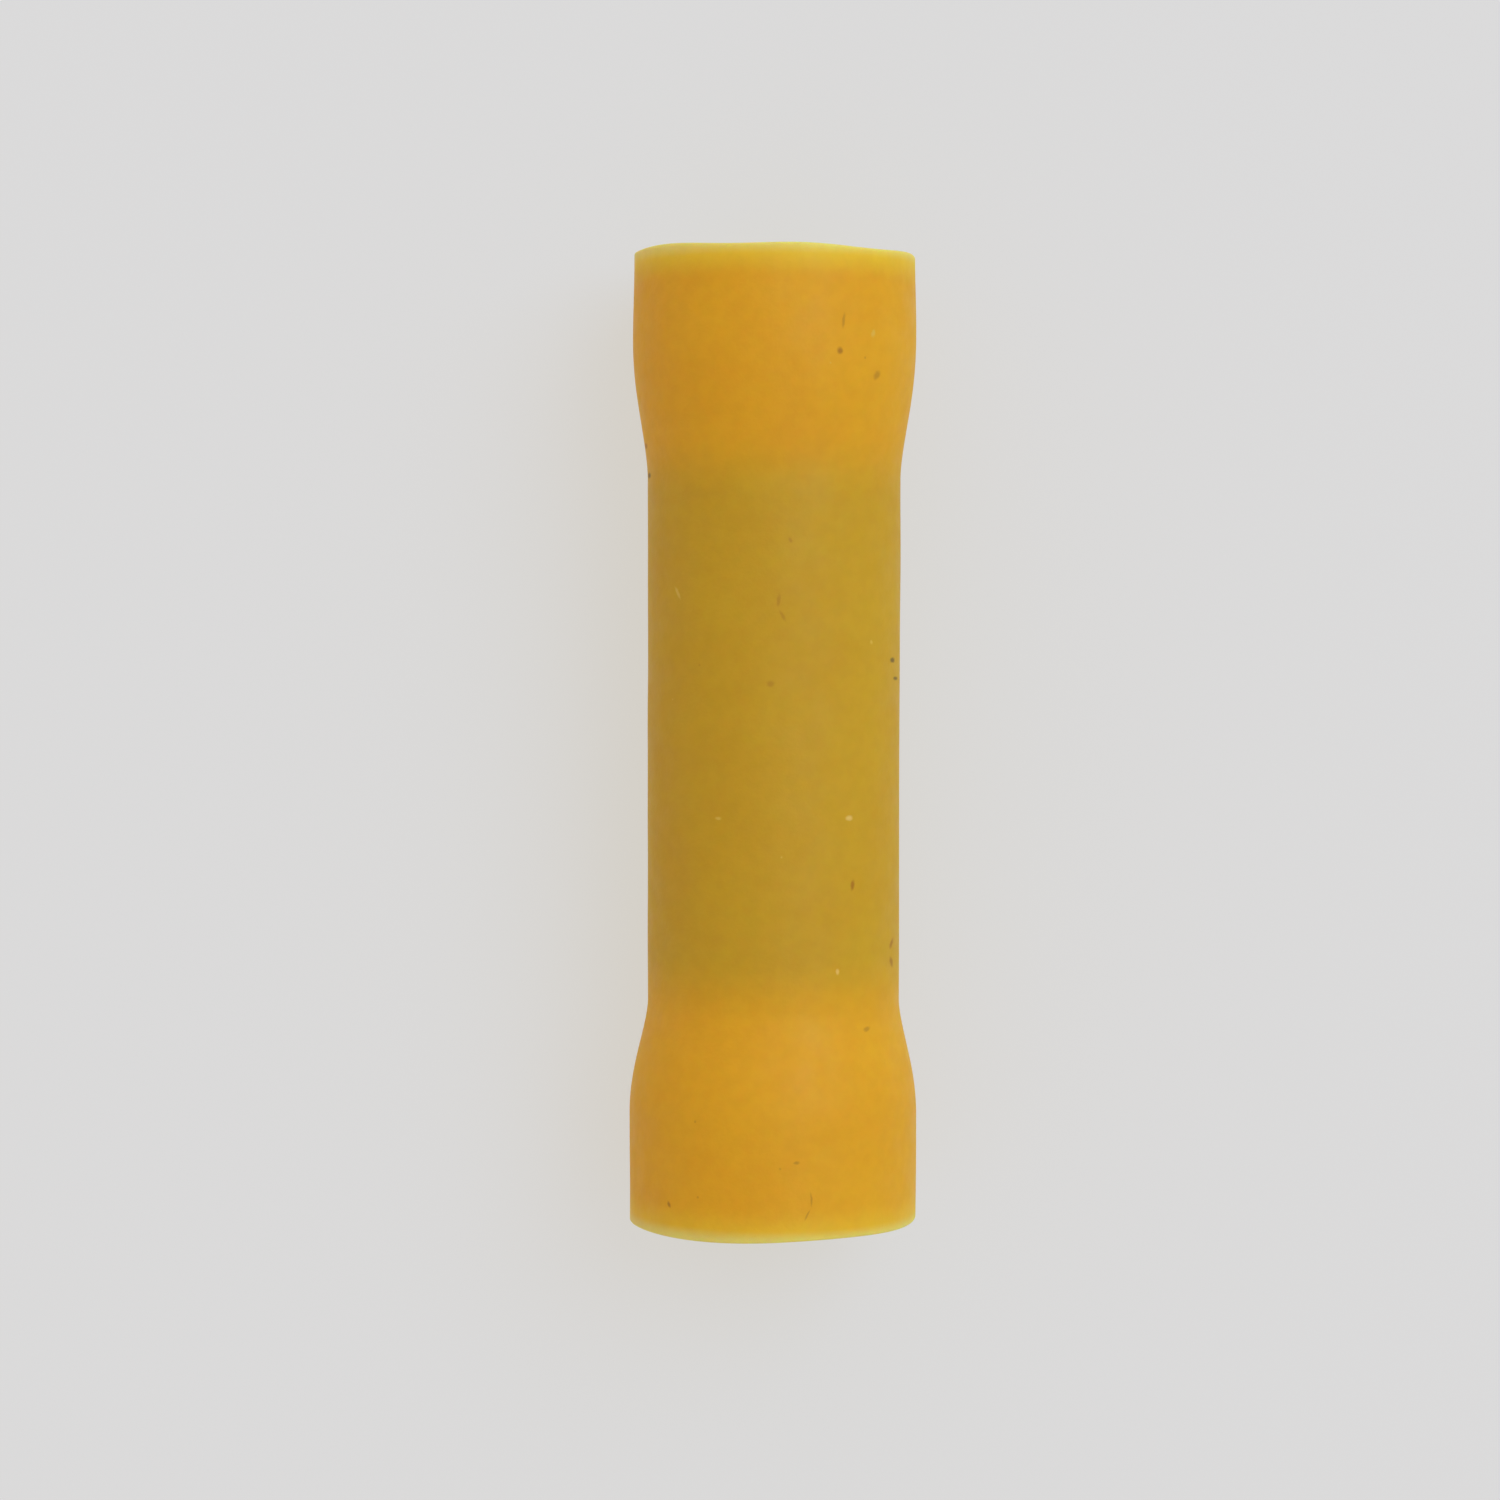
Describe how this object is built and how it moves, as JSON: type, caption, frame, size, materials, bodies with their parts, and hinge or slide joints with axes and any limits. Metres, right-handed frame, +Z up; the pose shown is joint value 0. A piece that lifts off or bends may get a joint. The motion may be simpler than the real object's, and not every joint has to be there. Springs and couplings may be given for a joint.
{
  "type": "insulated butt connector",
  "caption": "Crimp butt connector for joining two stripped wires end to end: a metal barrel with a centre wire stop, inside a flared plastic sleeve.",
  "frame": {"origin": "centre of the connector, on its axis, halfway between the two rims", "axes": "+Y along the connector's axis, towards the bell that the barrel sits nearer; +Z up, the connector lying on its side; the wire stop's two punch marks face +X and -X"},
  "size_m": [0.0078, 0.0264, 0.0078],
  "materials": {
    "yellow_pvc": "soft, slightly translucent yellow PVC with a satin, faintly mottled surface",
    "tin_plate": "bright tin plating over copper, with fine draw marks along the tube"
  },
  "bodies": {
    "root": {"insulating_sleeve": "yellow_pvc", "crimp_barrel": "tin_plate"}
  },
  "joints": []
}
